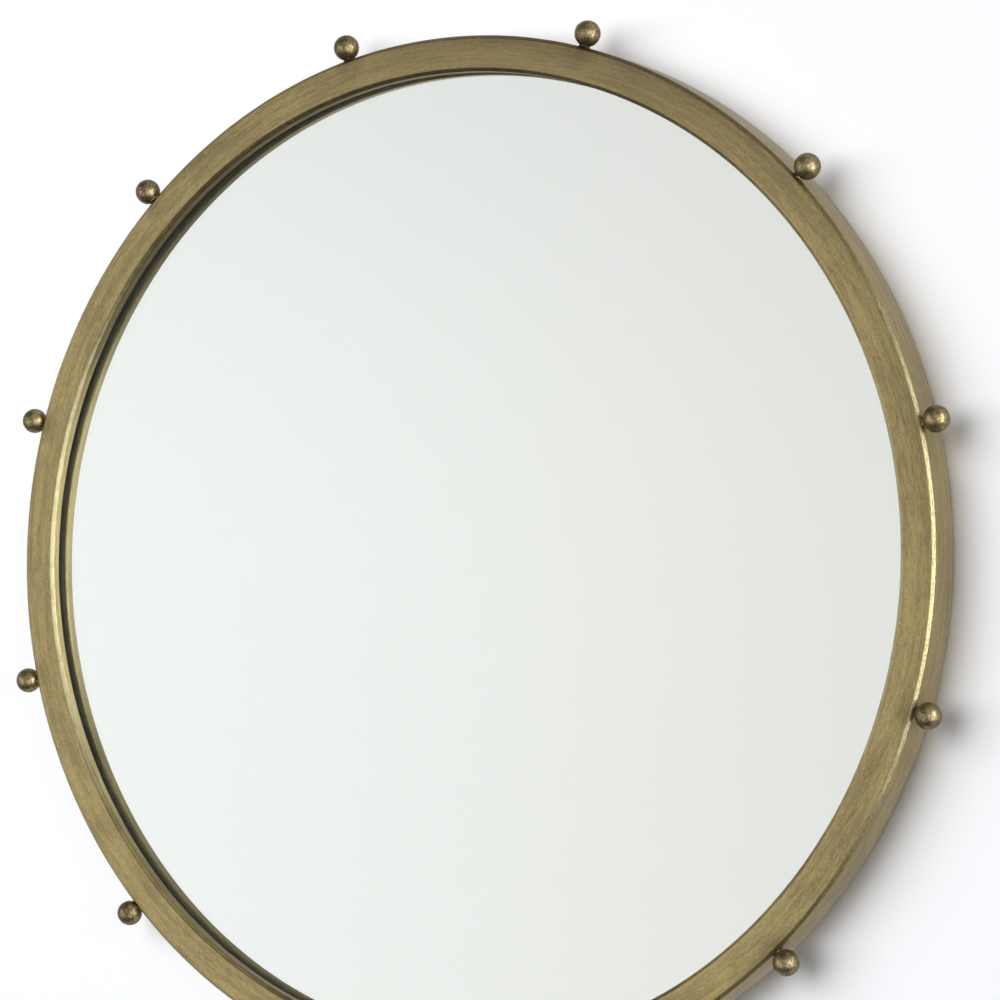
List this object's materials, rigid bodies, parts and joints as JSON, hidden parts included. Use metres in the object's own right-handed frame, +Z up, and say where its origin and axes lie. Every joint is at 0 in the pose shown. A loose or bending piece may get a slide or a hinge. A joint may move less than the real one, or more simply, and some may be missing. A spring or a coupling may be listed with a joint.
{
  "type": "round wall mirror",
  "caption": "Round wall mirror: flat silvered pane set back in an antique-brass channel ring with ball finials round its edge, hung on two D rings.",
  "frame": {"origin": "centre of the ring on the wall plane, where the rubber feet touch the wall", "axes": "+Z up, +Y from the mirror into the wall, -Y the way the pane faces, +X to the viewer's right"},
  "size_m": [0.7374, 0.0369, 0.7374],
  "materials": {
    "antique_brass": "brushed along the ring, aged, edges worn bright",
    "aged_ball": "dark mottled patina over satin brass",
    "silvered_glass": "clear float glass, silvered behind",
    "foam_tape": "matte closed-cell foam",
    "fibreboard": "raw pressed fibreboard",
    "welded_steel": "dull bronze paint over welded steel",
    "zinc_plate": "bright zinc plate",
    "black_rubber": "matte moulded rubber"
  },
  "bodies": {
    "mirror": {"frame_channel": "antique_brass", "ball_finial_01": "aged_ball", "ball_finial_02": "aged_ball", "ball_finial_03": "aged_ball", "ball_finial_04": "aged_ball", "ball_finial_05": "aged_ball", "ball_finial_06": "aged_ball", "ball_finial_07": "aged_ball", "ball_finial_08": "aged_ball", "ball_finial_09": "aged_ball", "ball_finial_10": "aged_ball", "ball_finial_11": "aged_ball", "ball_finial_12": "aged_ball", "glazing_tape": "foam_tape", "mirror_pane": "silvered_glass", "backing_board": "fibreboard", "setting_block_01": "black_rubber", "setting_block_02": "black_rubber", "board_tab_01": "welded_steel", "tab_screw_01": "zinc_plate", "board_tab_02": "welded_steel", "tab_screw_02": "zinc_plate", "board_tab_03": "welded_steel", "tab_screw_03": "zinc_plate", "board_tab_04": "welded_steel", "tab_screw_04": "zinc_plate", "board_tab_05": "welded_steel", "tab_screw_05": "zinc_plate", "board_tab_06": "welded_steel", "tab_screw_06": "zinc_plate", "hanger_bracket_left": "welded_steel", "hanger_strap_left": "zinc_plate", "hanger_screw_left_1": "zinc_plate", "hanger_screw_left_2": "zinc_plate", "hanger_bracket_right": "welded_steel", "hanger_strap_right": "zinc_plate", "hanger_screw_right_1": "zinc_plate", "hanger_screw_right_2": "zinc_plate", "rubber_foot_01": "black_rubber", "foot_screw_01": "zinc_plate", "rubber_foot_02": "black_rubber", "foot_screw_02": "zinc_plate", "rubber_foot_03": "black_rubber", "foot_screw_03": "zinc_plate", "rubber_foot_04": "black_rubber", "foot_screw_04": "zinc_plate"},
    "left_ring": {"d_ring_left": "zinc_plate"},
    "right_ring": {"d_ring_right": "zinc_plate"}
  },
  "joints": [
    {"name": "d_ring_left_swing", "type": "hinge", "parent": "mirror", "child": "left_ring", "pos_m": [-0.18, -0.00495, 0.263], "axis": [-1, 0, 0], "range_deg": [0, 184]},
    {"name": "d_ring_right_swing", "type": "hinge", "parent": "mirror", "child": "right_ring", "pos_m": [0.18, -0.00495, 0.263], "axis": [-1, 0, 0], "range_deg": [0, 184]}
  ]
}
